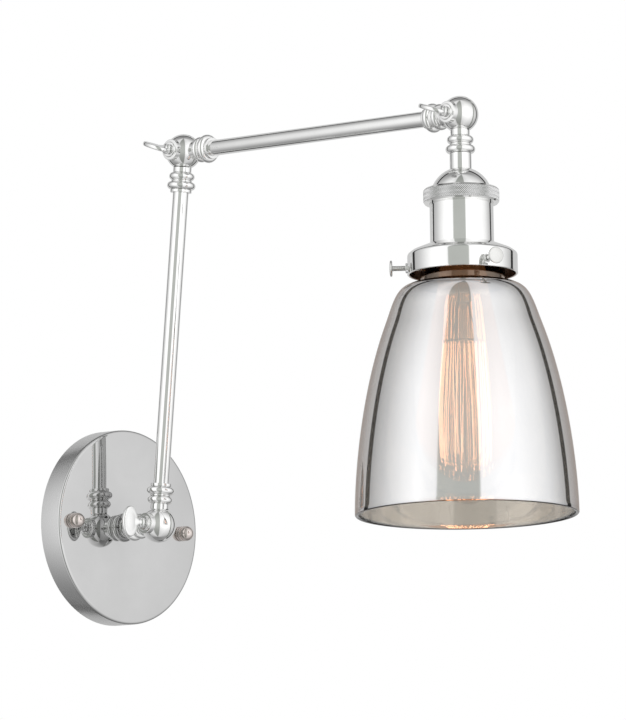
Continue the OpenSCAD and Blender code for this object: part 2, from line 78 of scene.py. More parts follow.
KNURL_R, KNURL_TOP, KNURL_BOTTOM, KNURL_DEPTH = 22.4, 44.7, 53.5, 0.45
KNURL_WEB, KNURL_COUNT, KNURL_CHAMFER = 1.4, 112, 0.9
SHELL_R, SHELL_TOP, SHELL_END = 18.75, 47.0, 84.0
FITTER_R, FITTER_TOP, FITTER_SHOULDER, FITTER_END = 32.4, 77.7, 83.7, 95.8
SCREW_AT = FITTER_SHOULDER + 0.62 * (FITTER_END - FITTER_SHOULDER)
SHADE_R, SHADE_REACH, GLASS = 65.5, 238.0, 2.4
BULB_R, BULB_REACH, BULB_NECK_R, BULB_WALL = 29.0, 213.0, 12.6, 0.8
EDISON_DEPTH, EDISON_PITCH = 0.5, 3.6
CAGE_TOP, CAGE_BOTTOM, CAGE_TOP_R, CAGE_BOTTOM_R = 138.0, 202.0, 9.0, 12.0


# ---------------------------------------------------------------- places, from the frame's joints
joints = {j["name"]: j for j in frame["record"]["behaviour"]["joints"]}
BASE = Vector(joints["base_tilt"]["pos_m"])
ELBOW = Vector(joints["elbow_tilt"]["pos_m"])
HEAD = Vector(joints["head_tilt"]["pos_m"])
SHADE_SCREWS = {
    "shade_screw_front": "shade_screw_a",
    "shade_screw_left": "shade_screw_b",
    "shade_screw_right": "shade_screw_c",
}
screw_axis = {n: Vector(joints[b + "_back_off"]["axis"]) for n, b in SHADE_SCREWS.items()}
DOWN_SHADE = screw_axis["shade_screw_front"].cross(screw_axis["shade_screw_left"]).normalized()
LOWER = (ELBOW - BASE).normalized()
UPPER = (HEAD - ELBOW).normalized()
ACROSS = Vector((1, 0, 0))
THUMB = -ACROSS


def place(origin, axis, side=ACROSS):
    """The matrix that puts local +Z along axis and local +X towards side."""
    z = axis.normalized()
    x = (side - side.dot(z) * z).normalized()
    y = z.cross(x)
    turn = Matrix((x, y, z)).transposed().to_4x4()
    return Matrix.Translation(origin) @ turn


WALL_OUT = place(Vector((0, 0, 0)), Vector((0, -1, 0)))
BASE_STEM = place(BASE, Vector((0, 1, 0)))
LOWER_UP = place(BASE, LOWER)
LOWER_DOWN = place(ELBOW, -LOWER)
UPPER_OUT = place(ELBOW, UPPER)
UPPER_BACK = place(HEAD, -UPPER)
SHADE_AXIS = place(HEAD, DOWN_SHADE)


# ---------------------------------------------------------------- outlines
def arc(cx, cz, r, start, end, steps=10):
    """Points on an arc about (cx, cz), with angles in degrees from +r towards +z."""
    angles = [math.radians(start + (end - start) * i / steps) for i in range(steps + 1)]
    return [(cx + r * math.cos(a), cz + r * math.sin(a)) for a in angles]


# Half a corner's angle, in degrees, from which it is left as it is, and how much of a side a round may take
NEARLY_STRAIGHT, MOST_OF_A_SIDE = 87, 0.45


def rounded(points, radius, steps=4, closed=False):
    """The outline with each corner rounded. A point may carry its own radius as a third value."""
    out = []
    count = len(points)
    for i, p in enumerate(points):
        here = Vector(p[:2])
        r = p[2] if len(p) > 2 else radius
        if (not closed and i in (0, count - 1)) or r <= 0:
            out.append(tuple(here))
            continue
        before = Vector(points[i - 1][:2]) - here
        after = Vector(points[(i + 1) % count][:2]) - here
        if before.length < 1e-6 or after.length < 1e-6:
            out.append(tuple(here))
            continue
        half = before.angle(after) / 2
        if half > math.radians(NEARLY_STRAIGHT):
            out.append(tuple(here))
            continue
        cut = min(r / math.tan(half), before.length * MOST_OF_A_SIDE, after.length * MOST_OF_A_SIDE)
        a = here + before.normalized() * cut
        b = here + after.normalized() * cut
        for k in range(steps + 1):
            t = k / steps
            out.append(tuple((1 - t) ** 2 * a + 2 * t * (1 - t) * here + t * t * b))
    return out


# ---------------------------------------------------------------- meshes
def new_object(name, verts, faces, matrix, angle=32):
    """A smooth mesh, with edges sharper than the angle kept sharp."""
    mesh = bpy.data.meshes.new(name)
    mesh.from_pydata(verts, [], faces)
    mesh.validate()
    mesh.shade_smooth()
    mesh.set_sharp_from_angle(angle=math.radians(angle))
    obj = bpy.data.objects.new(name, mesh)
    bpy.context.scene.collection.objects.link(obj)
    obj.matrix_world = matrix
    return obj


def spin(points, closed=False, segments=SEGMENTS):
    """Vertices and faces of an outline spun about Z. Points on the axis become one vertex."""
    verts, rings, faces = [], [], []
    for r, z in points:
        if r < 1e-4:
            rings.append([len(verts)] * segments)
            verts.append((0, 0, z * MM))
            continue
        rings.append([len(verts) + s for s in range(segments)])
        for s in range(segments):
            a = 2 * math.pi * s / segments
            verts.append((r * MM * math.cos(a), r * MM * math.sin(a), z * MM))
    after = rings[1:] + rings[:1] if closed else rings[1:]
    for low, high in zip(rings, after):
        for s in range(segments):
            t = (s + 1) % segments
            quad = (low[s], low[t], high[t], high[s])
            face = tuple(dict.fromkeys(quad))
            if len(face) > 2:
                faces.append(face)
    return verts, faces


def lathe(name, points, matrix, closed=False, segments=SEGMENTS, angle=32):
    """An outline spun about the matrix's Z axis. Closed, it is a ring, and open, it ends on the axis."""
    verts, faces = spin(points, closed, segments)
    obj = new_object(name, verts, faces, matrix, angle)
    face_outwards(obj)
    return obj


def face_outwards(obj):
    bm = bmesh.new()
    bm.from_mesh(obj.data)
    bmesh.ops.recalc_face_normals(bm, faces=bm.faces)
    bm.to_mesh(obj.data)
    bm.free()


def joined(name, parts):
    """One object from several, in the place of the first."""
    first = parts[0]
    back = first.matrix_world.inverted()
    for part in parts[1:]:
        part.data.transform(back @ part.matrix_world)
        part.matrix_world = first.matrix_world
    with bpy.context.temp_override(
        active_object=first, object=first, selected_objects=parts, selected_editable_objects=parts
    ):
        bpy.ops.object.join()
    first.name = name
    first.data.name = name
    return first


def finish_piece(obj, body, slot, finish, *nodes):
    """Gives a piece its material and tells the frame what it rides on and which nodes it stands for."""
    obj.data.materials.clear()
    obj.data.materials.append(finish)
    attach(obj, body)
    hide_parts(*nodes)


# ---------------------------------------------------------------- materials
def material(name):
    mat = bpy.data.materials.new(name)
    mat.use_nodes = True
    tree = mat.node_tree
    shader = tree.nodes["Principled BSDF"]
    return mat, tree, shader


def node(tree, kind, **values):
    made = tree.nodes.new(kind)
    for key, value in values.items():
        if key in made.inputs:
            made.inputs[key].default_value = value
        else:
            setattr(made, key, value)
    return made


def coordinates(tree, scale=(1, 1, 1)):
    """Coordinates in the piece's own frame, in metres, stretched by scale."""
    place_node = tree.nodes.new("ShaderNodeTexCoord")
    mapping = node(tree, "ShaderNodeMapping", Scale=scale)
    tree.links.new(place_node.outputs["Object"], mapping.inputs["Vector"])
    return mapping.outputs["Vector"]


def noise(tree, vector, scale, detail=3.0):
    made = node(tree, "ShaderNodeTexNoise", Scale=scale, Detail=detail, Roughness=0.55)
    tree.links.new(vector, made.inputs["Vector"])
    return made.outputs["Fac"]


def ramp(tree, value, stops):
    """A colour by value, from stops of (value, colour). A colour may be one number, for a grey."""
    made = tree.nodes.new("ShaderNodeValToRGB")
    points = made.color_ramp.elements
    while len(points) < len(stops):
        points.new(0.5)
    for element, (at, colour) in zip(points, stops):
        element.position = at
        if isinstance(colour, (int, float)):
            colour = (colour, colour, colour)
        element.color = (*colour, 1)
    tree.links.new(value, made.inputs["Fac"])
    return made.outputs["Color"]


def span(tree, value, low, high):
    """A value from 0 to 1, stretched to run from low to high."""
    made = node(tree, "ShaderNodeMapRange")
    made.inputs["To Min"].default_value = low
    made.inputs["To Max"].default_value = high
    tree.links.new(value, made.inputs["Value"])
    return made.outputs["Result"]


def bump(tree, height, strength, distance):
    made = node(tree, "ShaderNodeBump", Strength=strength, Distance=distance)
    tree.links.new(height, made.inputs["Height"])
    return made.outputs["Normal"]


def metal(name, dark, light, rough, ripple=0.02, grain=900.0):
    """A plated metal: a cloudy tone, fine wipe marks in its roughness and a slight ripple."""
    mat, tree, shader = material(name)
    shader.inputs["Metallic"].default_value = 1.0
    clouds = noise(tree, coordinates(tree), 45.0)
    tree.links.new(ramp(tree, clouds, [(0.3, dark), (0.7, light)]), shader.inputs["Base Color"])
    marks = noise(tree, coordinates(tree), grain, detail=4.0)
    tree.links.new(span(tree, marks, rough[0], rough[1]), shader.inputs["Roughness"])
    wave = noise(tree, coordinates(tree), grain * 0.35, detail=2.0)
    tree.links.new(bump(tree, wave, ripple, 0.0002), shader.inputs["Normal"])
    return mat


def from_axis(tree, where):
    """Distance of a point from its piece's own axis."""
    flat = node(tree, "ShaderNodeVectorMath", operation="MULTIPLY")
    flat.inputs[1].default_value = (1, 1, 0)
    tree.links.new(where, flat.inputs[0])
    radius = node(tree, "ShaderNodeVectorMath", operation="LENGTH")
    tree.links.new(flat.outputs["Vector"], radius.inputs[0])
    return radius.outputs["Value"]


def step_between(tree, value, nought_at, one_at):
    """0 where a distance is at the first place, 1 at the second, both in millimetres."""
    made = node(tree, "ShaderNodeMapRange")
    made.inputs["From Min"].default_value = nought_at * MM
    made.inputs["From Max"].default_value = one_at * MM
    tree.links.new(value, made.inputs["Value"])
    return made.outputs["Result"]


def knurled_metal_painted_shade():
    """The diamonds of the knurled ring: painted shade darkens the grooves, and the tips stay lightest."""
    mat, tree, shader = material("knurled_diamonds_painted_shade")
    shader.inputs["Metallic"].default_value = 1.0
    where = coordinates(tree)
    height = step_between(tree, from_axis(tree, where), KNURL_R - KNURL_DEPTH, KNURL_R)
    # painted shade: the colour darkens from the diamond tips down to the groove bottoms
    tone = ramp(tree, height, [(0.05, 0.42), (0.5, 0.78), (0.95, 0.96)])
    tree.links.new(tone, shader.inputs["Base Color"])
    marks = noise(tree, where, 900.0, detail=4.0)
    tree.links.new(span(tree, marks, 0.1, 0.2), shader.inputs["Roughness"])
    return mat


def plate_metal():
    """The plate: a mirror face with a polished edge, and a satin side brushed around the axis."""
    mat, tree, shader = material("plate_nickel")
    shader.inputs["Metallic"].default_value = 1.0
    where = coordinates(tree)
    apart = tree.nodes.new("ShaderNodeSeparateXYZ")
    tree.links.new(where, apart.inputs[0])
    side_at = PLATE_DEPTH - PLATE_EDGE
    on_side = step_between(tree, apart.outputs["Z"], side_at + 0.3, side_at - 0.3)
    lines = node(tree, "ShaderNodeCombineXYZ")
    tree.links.new(apart.outputs["Z"], lines.inputs["Z"])
    tree.links.new(from_axis(tree, where), lines.inputs["X"])
    brushed = noise(tree, lines.outputs["Vector"], 2600.0, detail=3.0)
    clouds = noise(tree, where, 30.0)
    tone = node(tree, "ShaderNodeMix", data_type="RGBA")
    tree.links.new(on_side, tone.inputs["Factor"])
    tree.links.new(ramp(tree, clouds, [(0.3, 0.53), (0.7, 0.57)]), tone.inputs["A"])
    tree.links.new(ramp(tree, clouds, [(0.3, 0.64), (0.7, 0.68)]), tone.inputs["B"])
    tree.links.new(tone.outputs["Result"], shader.inputs["Base Color"])
    satin = span(tree, brushed, 0.2, 0.34)
    mirror = span(tree, noise(tree, where, 600.0), 0.015, 0.03)
    mix = node(tree, "ShaderNodeMix", data_type="FLOAT")
    tree.links.new(on_side, mix.inputs["Factor"])
    tree.links.new(mirror, mix.inputs["A"])
    tree.links.new(satin, mix.inputs["B"])
    tree.links.new(mix.outputs["Result"], shader.inputs["Roughness"])
    amount = node(tree, "ShaderNodeMath", operation="MULTIPLY")
    amount.inputs[1].default_value = 0.04
    tree.links.new(on_side, amount.inputs[0])
    ridge = node(tree, "ShaderNodeBump", Distance=0.0001)
    tree.links.new(amount.outputs[0], ridge.inputs["Strength"])
    tree.links.new(brushed, ridge.inputs["Height"])
    tree.links.new(ridge.outputs["Normal"], shader.inputs["Normal"])
    return mat


# The warm light of a lit bulb
LAMP_LIGHT = (1.0, 0.52, 0.24, 1)


def glass(name, dark, light, metallic, roughness, ior, edge=(1, 1, 1), glow=0.0):
    """Glass, half silvered where metallic is above 0.

    edge tints the silver where it is seen edge on, glow is the warm light of a lit bulb.
    """
    mat, tree, shader = material(name)
    shader.inputs["Metallic"].default_value = metallic
    shader.inputs["Specular Tint"].default_value = (*edge, 1)
    shader.inputs["Transmission Weight"].default_value = 1.0
    shader.inputs["IOR"].default_value = ior
    shader.inputs["Roughness"].default_value = roughness
    shader.inputs["Emission Color"].default_value = LAMP_LIGHT
    shader.inputs["Emission Strength"].default_value = glow
    swirl = noise(tree, coordinates(tree, (1, 1, 0.3)), 30.0)
    tree.links.new(ramp(tree, swirl, [(0.3, dark), (0.7, light)]), shader.inputs["Base Color"])
    tree.links.new(bump(tree, noise(tree, coordinates(tree), 22.0), 0.03, 0.0006), shader.inputs["Normal"])
    return mat


def plain(name, dark, light, scale, roughness, metallic=0.0, relief=0.1):
    """A dull material: mottled colour, uneven roughness and a fine relief."""
    mat, tree, shader = material(name)
    shader.inputs["Metallic"].default_value = metallic
    mottle = noise(tree, coordinates(tree), scale)
    tree.links.new(ramp(tree, mottle, [(0.3, dark), (0.7, light)]), shader.inputs["Base Color"])
    tree.links.new(span(tree, mottle, roughness[0], roughness[1]), shader.inputs["Roughness"])
    tree.links.new(bump(tree, mottle, relief, 0.0003), shader.inputs["Normal"])
    return mat


def glowing(name, cool, hot, strength):
    """Filament wire: hottest at the middle of each strand's mottle."""
    mat, tree, shader = material(name)
    shade = ramp(tree, noise(tree, coordinates(tree, (1, 1, 0.2)), 350.0), [(0.3, cool), (0.7, hot)])
    tree.links.new(shade, shader.inputs["Base Color"])
    tree.links.new(shade, shader.inputs["Emission Color"])
    shader.inputs["Emission Strength"].default_value = strength
    return mat


def woven(name):
    """The leads' sleeve: a fine diagonal weave."""
    mat, tree, shader = material(name)
    wave = node(tree, "ShaderNodeTexWave", Scale=900.0, Distortion=0.6)
    wave.bands_direction = "DIAGONAL"
    tree.links.new(coordinates(tree), wave.inputs["Vector"])
    strand = wave.outputs["Fac"]
    tone = ramp(tree, strand, [(0.2, (0.55, 0.5, 0.38)), (0.8, (0.86, 0.82, 0.7))])
    tree.links.new(tone, shader.inputs["Base Color"])
    tree.links.new(span(tree, strand, 0.7, 0.9), shader.inputs["Roughness"])
    tree.links.new(bump(tree, strand, 0.4, 0.0002), shader.inputs["Normal"])
    return mat


NICKEL = metal("polished_nickel", (0.80, 0.80, 0.795), (0.86, 0.86, 0.855), (0.03, 0.075))
KNURLED = metal("knurled_nickel", (0.86, 0.86, 0.85), (0.93, 0.93, 0.92), (0.08, 0.16))
# the knurled ring's diamonds, with painted shade in their grooves
DIAMONDS_PAINTED_SHADE = knurled_metal_painted_shade()
WARM = metal("warm_nickel", (0.60, 0.54, 0.51), (0.72, 0.66, 0.63), (0.08, 0.16))
ZINC = metal("zinc_steel", (0.50, 0.52, 0.53), (0.66, 0.67, 0.66), (0.25, 0.42), ripple=0.1)
BRASS = metal("brass", (0.70, 0.50, 0.20), (0.82, 0.64, 0.30), (0.15, 0.3), ripple=0.05)
TURNED = metal(
    "turned_nickel", (0.60, 0.60, 0.585), (0.70, 0.70, 0.685), (0.16, 0.3), ripple=0.25, grain=2200.0)
# dark brown painted shade and painted reflection of the smoky glass, for the fitter's inner wall
FITTER_PAINTED_SHADE = metal("fitter_inside_painted_shade", (0.32, 0.23, 0.18), (0.52, 0.41, 0.34), (0.2, 0.4), ripple=0.1)
WIRE = metal("support_wire", (0.42, 0.40, 0.38), (0.58, 0.55, 0.52), (0.3, 0.5))
PLATE = plate_metal()
GREEN = plain("ground_green", (0.02, 0.22, 0.07), (0.05, 0.36, 0.13), 700.0, (0.3, 0.45), metallic=0.6)
PHENOLIC = plain("phenolic", (0.02, 0.018, 0.016), (0.06, 0.05, 0.045), 500.0, (0.35, 0.55))
FIBRE = plain("fibre", (0.24, 0.08, 0.04), (0.42, 0.18, 0.1), 1200.0, (0.7, 0.9), relief=0.3)
SLEEVE = woven("lead_insulation")
MIRROR_GLASS = glass(
    "mirror_glass", (0.85, 0.86, 0.88), (0.88, 0.89, 0.91), 0.74, 0.02, 1.45, edge=(0.55, 0.46, 0.40))
SMOKE_GLASS = glass("smoke_glass", (0.92, 0.85, 0.75), (0.96, 0.90, 0.81), 0.0, 0.01, 1.45)
RIM_GLASS = glass("rim_glass", (0.46, 0.36, 0.29), (0.56, 0.45, 0.37), 0.1, 0.03, 1.45)
# the outer neck: dark brown painted shade, where the neck sits in the fitter's shadow
NECK_GLASS_PAINTED_SHADE = glass("neck_glass_painted_shade", (0.30, 0.22, 0.16), (0.42, 0.33, 0.26), 0.3, 0.03, 1.45)
BULB_GLASS = glass("bulb_glass", (0.97, 0.92, 0.86), (0.99, 0.96, 0.92), 0.0, 0.005, 1.15, glow=0.06)
FILAMENT = glowing("filament", (1.0, 0.48, 0.26), (1.0, 0.66, 0.44), 2.9)


# ---------------------------------------------------------------- wall plate
def backplate():
    inner_r = PLATE_R - PLATE_WALL
    inner_z = PLATE_DEPTH - PLATE_WALL
    outline = rounded([
        (NIPPLE_HOLE_R, inner_z), (NIPPLE_HOLE_R, PLATE_DEPTH), (PLATE_R, PLATE_DEPTH, PLATE_EDGE),
        (PLATE_R, 0.0), (inner_r, 0.0), (inner_r, inner_z, PLATE_EDGE - PLATE_WALL),
    ], 0.25, steps=8, closed=True)
    obj = lathe("backplate_cup", outline, WALL_OUT, closed=True, segments=256)
    finish_piece(obj, "wall_plate", "plate_nickel", PLATE, "backplate")


def cap_nut(name, x):
    """A turned nut: a foot, a groove, a body and a domed end."""
    r, foot, groove, dome_at = 4.6, 1.5, 0.7, 2.9
    outline = rounded([
        (0, 0.05), (r, 0.05), (r, foot), (r - groove, foot + 0.1), (r - groove, foot + groove - 0.1),
        (r, foot + groove), (r, dome_at - 0.1),
    ], 0.25) + arc(0, dome_at, r, 0, 90, 14)[1:]
    at = Matrix.Translation((x * MM, 0, PLATE_DEPTH * MM))
    return lathe(name, outline, WALL_OUT @ at, segments=64)


def cap_nuts():
    pair = joined("cap_nut_pair", [cap_nut("cap_nut_a", -STUD_X), cap_nut("cap_nut_b", STUD_X)])
    finish_piece(pair, "wall_plate", "warm_nickel", WARM, "cap_nuts")


# ---------------------------------------------------------------- ball pivots and collars
def collar(end, seat_r):
    """Outline of a neck with two beads and, on a long collar, a lip. The bottom follows the ball."""
    base = math.sqrt((BALL_R + BALL_GAP) ** 2 - NECK_R ** 2)
    points = [(NECK_R, base), (NECK_R, RING1_AT - BEAD_R - 0.3), (NECK_R + 0.3, RING1_AT - BEAD_R)]
    points += arc(RING1_R - BEAD_R, RING1_AT, BEAD_R, -80, 80, 12)
    points += [(NECK_R + 0.7, RING1_AT + BEAD_R + 0.2), (NECK_R + 0.7, RING2_AT - BEAD_R - 0.2)]
    points += arc(RING2_R - BEAD_R, RING2_AT, BEAD_R, -80, 80, 12)
    if end > PLAIN_END:
        lip = [(LIP_R - 0.5, LIP_FROM + 0.3), (LIP_R, LIP_FROM + 0.6), (LIP_R, end), (seat_r, end)]
        points += rounded(lip, 0.25)
    else:
        points += [(seat_r, end)]
    points += [(seat_r, end - SEAT_LEN)]
    return points


def neck_foot(obj, side):
    """Runs the neck down into its own half ball, and leaves the running gap over the other half."""
    gap_at = math.sqrt((BALL_R + BALL_GAP) ** 2 - NECK_R ** 2) * MM
    inside = math.sqrt((BALL_R - 0.4) ** 2 - NECK_R ** 2) * MM
    for v in obj.data.vertices:
        if abs(v.co.z - gap_at) < 1e-6 and v.co.x * side > SEAM / 2 * MM:
            v.co.z = inside


def half_ball(name, origin, side):
    """A closed half ball on one side of the seam, with its edge eased."""
    flat = SEAM / 2
    ease = 0.35
    start = math.degrees(math.asin((flat + ease) / BALL_R))
    outline = [(0, flat), (BALL_R - ease, flat)] + arc(0, 0, BALL_R, start, 90, 28)
    return lathe(name, outline, place(origin, ACROSS * side, Vector((0, 0, 1))), segments=128, angle=40)


def boss(name, origin):
    outline = rounded([
        (0, BOSS_ROOT), (BOSS_R, BOSS_ROOT), (BOSS_R, BOSS_END), (BOSS_STEP_R, BOSS_END),
        (BOSS_STEP_R, BOSS_STEP_END), (SCREW_R + 0.2, BOSS_STEP_END), (SCREW_R + 0.2, BOSS_STEP_END - 2),
    ], 0.4)
    return lathe(name, outline, place(origin, THUMB, Vector((0, 0, 1))), segments=96)


def knuckle_half(node_name, body, matrix, side, end, seat_r):
    """Half of a ball pivot: the half ball, its neck and collar, and the boss on the thumb screw's side."""
    origin = matrix.to_translation()
    neck = lathe(node_name + "_neck", collar(end, seat_r), matrix, segments=128)
    neck_foot(neck, side)
    parts = [neck, half_ball(node_name + "_ball", origin, side)]
    if side < 0:
        parts.append(boss(node_name + "_boss", origin))
    obj = joined(node_name + "_casting", parts)
    finish_piece(obj, body, "polished_nickel", NICKEL, node_name)


def arm_tube(node_name, body, matrix, length):
    bore_r, far = TUBE_R - TUBE_WALL, length - SEAT_AT
    wall = [(bore_r, SEAT_AT), (TUBE_R, SEAT_AT), (TUBE_R, far), (bore_r, far)]
    outline = rounded(wall, 0.15, closed=True)
    obj = lathe(node_name + "_drawn", outline, matrix, closed=True, segments=96)
    finish_piece(obj, body, "polished_nickel", NICKEL, node_name)


def paddle(name, matrix):
    """An oval plate, thicker at its middle, with a soft rounded rim. Its plane holds the screw's axis."""
    rim = 0.55
    outline = [(0, -0.5)] + [(0.25 * i, -0.5 + 0.015 * i * i) for i in range(1, 4)]
    angles = [math.radians(d) for d in range(-80, 81, 16)]
    outline += [(1 - rim * 0.18 * (1 - math.cos(a)), 0.4 * math.sin(a)) for a in angles]
    outline += [(0.25 * i, 0.5 - 0.015 * i * i) for i in range(3, 0, -1)] + [(0, 0.5)]
    verts, faces = spin(outline, segments=96)
    size = (PADDLE_W / 2, PADDLE_L / 2, PADDLE_T)
    verts = [tuple(c * k for c, k in zip(v, size)) for v in verts]
    obj = new_object(name, verts, faces, matrix, 50)
    face_outwards(obj)
    return obj


def loft(name, rings, matrix, segments=48):
    """A tube through ellipses along Z, each given as (half width in x, half width in y, z)."""
    verts, faces = [], []
    for rx, ry, z in rings:
        for s in range(segments):
            a = 2 * math.pi * s / segments
            verts.append((rx * MM * math.cos(a), ry * MM * math.sin(a), z * MM))
    for i in range(len(rings) - 1):
        for s in range(segments):
            t = (s + 1) % segments
            low, high = i * segments, (i + 1) * segments
            faces.append((low + s, low + t, high + t, high + s))
    faces.append(tuple(range(segments))[::-1])
    faces.append(tuple((len(rings) - 1) * segments + s for s in range(segments)))
    obj = new_object(name, verts, faces, matrix, 40)
    face_outwards(obj)
    return obj


def raised(degrees):
    """A direction towards the wall, raised above level."""
    return Vector((0, math.cos(math.radians(degrees)), math.sin(math.radians(degrees))))


def thumb_screw(node_name, body, origin, flat):
    """A screw with an oval paddle. flat is the direction of the paddle's long side."""
    axis = place(origin, THUMB, flat)
    outline = rounded([
        (0, SCREW_TIP), (SCREW_R, SCREW_TIP), (SCREW_R, BOSS_STEP_END + 0.1),
        (SCREW_NECK_R, BOSS_STEP_END + 0.15), (SCREW_NECK_R, 14.0),
        (3.1, 14.5), (3.25, 15.3), (3.1, 16.1), (2.3, 16.8), (1.9, 17.6), (0, 17.6),
    ], 0.3)
    shank = lathe(node_name + "_shank", outline, axis, segments=64)
    blend = loft(node_name + "_root", [
        (1.9, 1.9, 16.8), (2.1, 1.9, 17.8), (3.0, 1.75, 19.1), (4.4, 1.55, 20.7), (5.2, 1.3, 22.6),
        (5.4, 1.0, 24.6),
    ], axis)
    turn = Matrix(((0, 1, 0), (0, 0, 1), (1, 0, 0))).to_4x4()
    centre = Matrix.Translation((0, 0, (PADDLE_FROM + PADDLE_W / 2) * MM))
    wing = paddle(node_name + "_wing", axis @ centre @ turn)
    obj = joined(node_name + "_turned", [shank, blend, wing])
    finish_piece(obj, body, "polished_nickel", NICKEL, node_name)


# ---------------------------------------------------------------- lamp head
def head_stem():
    step = PLAIN_END + 0.1
    outline = rounded([
        (SPIGOT_BORE_R, SEAT_AT), (SPIGOT_R, SEAT_AT), (SPIGOT_R, step), (STEM_R, step), (STEM_R, STEM_END),
        (SPIGOT_R, STEM_END), (SPIGOT_R, SPIGOT_END), (SPIGOT_BORE_R, SPIGOT_END),
    ], 0.2, closed=True)
    obj = lathe("head_stem_tube", outline, SHADE_AXIS, closed=True, segments=96)
    finish_piece(obj, "shade_head", "polished_nickel", NICKEL, "head_stem")


def socket_cap():
    """The dome down to its edge, a skirt inside the knurled ring, and a thick crown around the stem."""
    hole_r = SPIGOT_R + THREAD_PLAY
    skirt_bore_r, hollow_r = SKIRT_R - SKIRT_WALL, DOME_R - DOME_WALL
    crown = math.degrees(math.asin((DOME_CENTRE - STEM_END) / DOME_R))
    edge = math.degrees(math.asin((DOME_CENTRE - DOME_END) / DOME_R))
    hollow_edge = math.degrees(math.asin((DOME_CENTRE - DOME_END) / hollow_r)) + 1
    outer = [(hole_r, STEM_END)] + arc(0, DOME_CENTRE, DOME_R, -crown, -edge, 20)
    outer += [(SKIRT_R, DOME_END), (SKIRT_R, SKIRT_END)]
    inner = [(skirt_bore_r, SKIRT_END), (skirt_bore_r, DOME_END)]
    inner += arc(0, DOME_CENTRE, hollow_r, -hollow_edge, -50, 12) + [(hole_r, CROWN_UNDER)]
    obj = lathe("socket_cap_dome", outer + inner, SHADE_AXIS, closed=True, segments=128)
    finish_piece(obj, "shade_head", "polished_nickel", NICKEL, "socket_cap")


def triangle(t):
    """A wave of straight ramps between 0 and 1, one to each whole number."""
    t = t % 1.0
    return 1 - abs(2 * t - 1)


def knurled_ring():
    """The ring with its diamond knurls cut between two chamfers."""
    per, rows = 8, 36
    blunt, fade_in = 0.75, 0.3
    pitch = 2 * math.pi * KNURL_R / KNURL_COUNT
    low, high = KNURL_TOP + KNURL_CHAMFER, KNURL_BOTTOM - KNURL_CHAMFER
    columns = KNURL_COUNT * per
    dome_bore_r, shell_bore_r = DOME_R + 0.15, SHELL_R + 0.05
    profile = [(dome_bore_r, KNURL_TOP + KNURL_WEB), (dome_bore_r, KNURL_TOP)]
    profile += rounded([(KNURL_R - 1.1, KNURL_TOP), (KNURL_R - 0.2, low)], 0.2)
    knurl = [low + (high - low) * i / rows for i in range(rows + 1)]
    verts, faces = [], []

    def ring_at(z, radius_of):
        for c in range(columns):
            a = 2 * math.pi * c / columns
            r = radius_of(c / per)
            verts.append((r * MM * math.cos(a), r * MM * math.sin(a), z * MM))

    for r, z in profile:
        ring_at(z, lambda s, r=r: r)
    for z in knurl:
        t = (z - low) / pitch
        fade = min(1, (z - low) / fade_in, (high - z) / fade_in)

        def cut(s, t=t, fade=fade):
            peak = min(triangle(s + t), triangle(s - t), blunt) / blunt
            return KNURL_R - KNURL_DEPTH + KNURL_DEPTH * peak * fade
        ring_at(z, cut)
    tail = [
        (KNURL_R - 0.2, high + 0.05), (KNURL_R - KNURL_CHAMFER, KNURL_BOTTOM),
        (shell_bore_r, KNURL_BOTTOM), (shell_bore_r, KNURL_TOP + KNURL_WEB),
    ]
    for r, z in tail:
        ring_at(z, lambda s, r=r: r)
    count = len(profile) + len(knurl) + len(tail)
    for i in range(count):
        j = (i + 1) % count
        for c in range(columns):
            d = (c + 1) % columns
            faces.append((i * columns + c, i * columns + d, j * columns + d, j * columns + c))
    obj = new_object("knurled_ring_cut", verts, faces, SHADE_AXIS, 24)
    face_outwards(obj)
    finish_piece(obj, "shade_head", "knurled_nickel", KNURLED, "knurled_ring")
    # the diamond faces get the material with painted shade in the grooves
    obj.data.materials.append(DIAMONDS_PAINTED_SHADE)
    diamonds = 1
    for face in obj.data.polygons:
        if len(profile) <= face.index // columns < len(profile) + rows:
            face.material_index = diamonds


def socket_shell():
    bore_r = SHELL_R - 1
    outline = rounded([
        (bore_r, SHELL_TOP), (SHELL_R, SHELL_TOP), (SHELL_R, SHELL_END), (bore_r, SHELL_END),
    ], 0.2, closed=True)
    obj = lathe("socket_shell_tube", outline, SHADE_AXIS, closed=True, segments=160)
    finish_piece(obj, "shade_head", "polished_nickel", NICKEL, "socket_shell")


def fitter_boss(name, axis):
    """The low boss around a shade screw's hole."""
    bore_r, boss_r, top = 1.7, 3.0, FITTER_R + 1.1
    wall = [(bore_r, FITTER_R - 1.2), (boss_r, FITTER_R - 0.6), (boss_r, top), (bore_r, top)]
    outline = rounded(wall, 0.35, closed=True)
    at = HEAD + DOWN_SHADE * SCREW_AT * MM
    return lathe(name, outline, place(at, axis, DOWN_SHADE), closed=True, segments=48)


